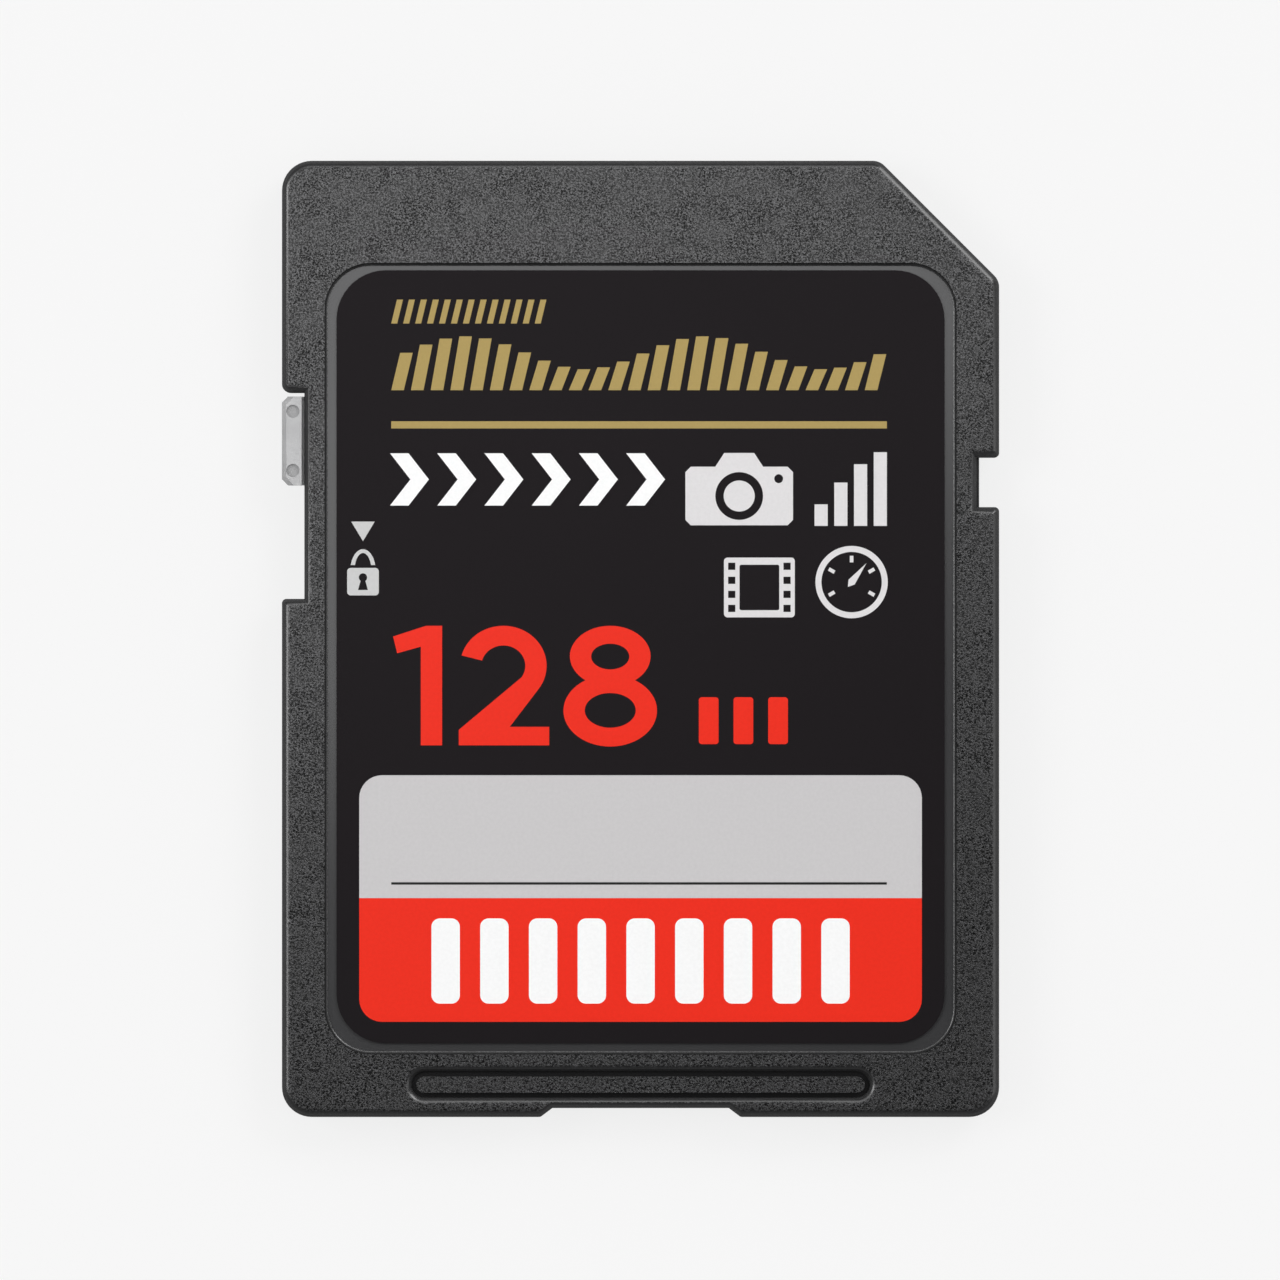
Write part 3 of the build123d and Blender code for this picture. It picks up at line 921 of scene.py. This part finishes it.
shackle = arch(half_width=0.41, rise=0.53) + arch(half_width=0.268, rise=0.405)[::-1]
keyhole = arc(lock_x, keyhole_y, keyhole_radius, keyhole_start, keyhole_end, steps=20)
keyhole += [(lock_x - keyhole_half, keyhole_foot), (lock_x + keyhole_half, keyhole_foot)]
lock_outlines = [
    [(lock_x - arrow_half, arrow_top), (lock_x, arrow_tip), (lock_x + arrow_half, arrow_top)],
    shackle,
    round_box(lock_x - body_half, body_foot, lock_x + body_half, body_top, (body_radius,) * 4),
    keyhole,
]
print_piece("print_lock_sign", lock_outlines, sign_ink)

# %% [markdown]
# ## The number
# A plain number in red fills the middle of the label. Blender's own font is too thin for it, so the three
# figures are drawn as outlines of one stroke width: bars, arcs and ovals, with the two eyes of the last
# figure as holes.

# %% The figures
stroke = 0.66
one_left, one_top = 0.86, 4.0
one_flag = [(1.02, one_top), (0.0, 3.64), (0.13, 3.08), (one_left, 3.3)]
figure_one = [(one_left, 0.0), (one_left + stroke, 0.0), (one_left + stroke, one_top)] + one_flag

bowl_x, bowl_y, bowl_radius, bowl_start, bowl_end = 1.38, 2.66, 1.34, 165, -35
base_width, base_height, neck_x, neck_y = 2.8, 0.62, 1.58, 0.52
figure_two = arc(bowl_x, bowl_y, bowl_radius, bowl_start, bowl_end)
figure_two += [(neck_x, base_height), (base_width, base_height), (base_width, 0.0), (0.0, 0.0), (0.0, neck_y)]
figure_two += arc(bowl_x, bowl_y, bowl_radius - stroke, bowl_end, bowl_start)

eight_x = 1.45
low_y, low_half, low_rise, low_waist = 1.16, 1.45, 1.2, 57.94
high_y, high_half, high_rise, high_waist = 2.98, 1.25, 1.02, -51.9
low_eye_y, low_eye_rise = 1.17, 0.58
high_eye_y, high_eye_rise = 2.97, 0.43
figure_eight = oval(eight_x, low_y, low_half, low_rise, 180 - low_waist, 360 + low_waist)
figure_eight += oval(eight_x, high_y, high_half, high_rise, high_waist, 180 - high_waist)
low_eye = oval(eight_x, low_eye_y, low_half - stroke, low_eye_rise, 0, 360)[:-1]
high_eye = oval(eight_x, high_eye_y, high_half - stroke, high_eye_rise, 0, 360)[:-1]
print("figures with a stroke of", stroke, "mm")

# %% The number
figure_stretch = 1.08
one_shift, two_shift, eight_shift = 0.0, 2.2, 5.7
number_at = (-8.28, -3.56)
number_outlines = []
for outline, shift in (
    (figure_one, one_shift),
    (figure_two, two_shift),
    (figure_eight, eight_shift),
    (low_eye, eight_shift),
    (high_eye, eight_shift),
):
    number_outlines.append([(shift + x * figure_stretch, y) for x, y in outline])
print_piece("print_number", number_outlines, red_ink, number_at)

# %% [markdown]
# ## Floor and light
# The floor is a pale sheet. A lit sheet alone would be uneven, and one that only glows would lose the
# shadow. So to the camera it is mostly its own colour, which stays even, and partly lit, which keeps the
# card's shadow. Soft lights stand at the left and beyond the cut corner, with weaker ones at the right
# and at the far end, and none at the near end. Three tall panels and a small card of light are seen only
# in gloss, so they add no light to the colours. The panels draw the bright line along the rolled edge at
# the left, at the cut corner and at the right. The small card of light hangs close above the upper left,
# and gives the plastic its fall from light to dark across the front.

# %% Floor
floor_colour = linear_colour(247, 247, 247)
floor_half = 6.0
own_share = 0.86
floor_mesh = bpy.data.meshes.new("floor")
floor_corners = [(x * floor_half, y * floor_half, 0.0) for x, y in ((-1, -1), (1, -1), (1, 1), (-1, 1))]
floor_mesh.from_pydata(floor_corners, [], [(0, 1, 2, 3)])
floor = bpy.data.objects.new("floor", floor_mesh)
scene.collection.objects.link(floor)

floor_sheet, tree, shader = new_finish("floor_sheet")
tree.nodes.remove(shader)
path = add_node(tree, "ShaderNodeLightPath").outputs
seen = combine(tree, "MAXIMUM", path["Is Camera Ray"], path["Is Glossy Ray"])
seen = combine(tree, "MAXIMUM", seen, path["Is Transmission Ray"])
lit = add_node(tree, "ShaderNodeBsdfDiffuse", {"Color": floor_colour}).outputs["BSDF"]
own = add_node(tree, "ShaderNodeEmission", {"Color": floor_colour}).outputs["Emission"]
sheet = add_node(tree, "ShaderNodeMixShader", {0: all_of(tree, seen, own_share), 1: lit, 2: own})
set_inputs(tree, tree.nodes["Material Output"], {"Surface": sheet.outputs["Shader"]})
floor_mesh.materials.append(floor_sheet)
print("floor", 2 * floor_half, "m wide")


# %% Soft lights
def softbox(name, place, aim, width, length, power):
    """A rectangular light that points from its place to its aim and isn't seen itself."""
    light = bpy.data.lights.new(name, "AREA")
    light.shape = "RECTANGLE"
    light.size = width
    light.size_y = length
    light.energy = power
    lamp = bpy.data.objects.new(name, light)
    lamp.location = place
    lamp.rotation_euler = (Vector(aim) - Vector(place)).to_track_quat("-Z", "Y").to_euler()
    lamp.visible_camera = False
    scene.collection.objects.link(lamp)
    return lamp


card_middle = (0.0, 0.0, front_face)
light_side = 0.2
for name, place, power in (
    ("left_light", (-0.3, 0.05, 0.34), 0.6),
    ("corner_light", (0.22, 0.22, 0.34), 0.6),
    ("right_light", (0.3, -0.05, 0.34), 0.15),
    ("far_light", (-0.05, 0.3, 0.34), 0.15),
):
    softbox(name, place, card_middle, light_side, light_side, power)
    print(name, power, "W")

# %% Panels seen only in gloss
panel_width = 0.16
for name, place, panel_length, power in (
    ("left_gloss", (-0.32, 0.05, 0.33), 0.18, 0.88),
    ("corner_gloss", (0.26, 0.26, 0.27), 0.36, 1.65),
    ("right_gloss", (0.37, -0.05, 0.27), 0.36, 0.42),
):
    softbox(name, place, card_middle, panel_width, panel_length, power).visible_diffuse = False
    print(name, power, "W")

# %% Card of light above the upper left
gloss_turn = radians(26.6)
gloss_width, gloss_length = 0.075, 0.045
gloss_height = 0.035
gloss_shift = 0.001
gloss_power = 0.042
upwards = Vector((0.0, 0.0, 1.0))
to_upper_left = Vector((-sin(gloss_turn), cos(gloss_turn), 0.0))
gloss_place = to_upper_left * (gloss_length / 2 + gloss_shift) + upwards * gloss_height
gloss_card = softbox("gloss_card", gloss_place, gloss_place - upwards, gloss_width, gloss_length, gloss_power)
gloss_card.rotation_euler = (0.0, 0.0, gloss_turn)
gloss_card.visible_diffuse = False
print("gloss card", gloss_height / MM, "mm above the floor")

# %% [markdown]
# ## The room
# A plain white room would do for the light, but it would grey the black plastic from above. So the room
# is dimmer overhead, as in a studio with a dark ceiling. At the horizon it is as pale as the far floor,
# so that no line shows between the two in a low view.

# %% World
horizon_level, ceiling_level = 0.93, 0.38
world = bpy.data.worlds.new("studio")
scene.world = world
world.use_nodes = True
tree = world.node_tree
direction = add_node(tree, "ShaderNodeTexCoord").outputs["Generated"]
room_level = remap(tree, part_of(tree, direction, "Z"), 0.0, 1.0, horizon_level, ceiling_level)
set_inputs(tree, tree.nodes["Background"], {"Color": floor_colour, "Strength": room_level})
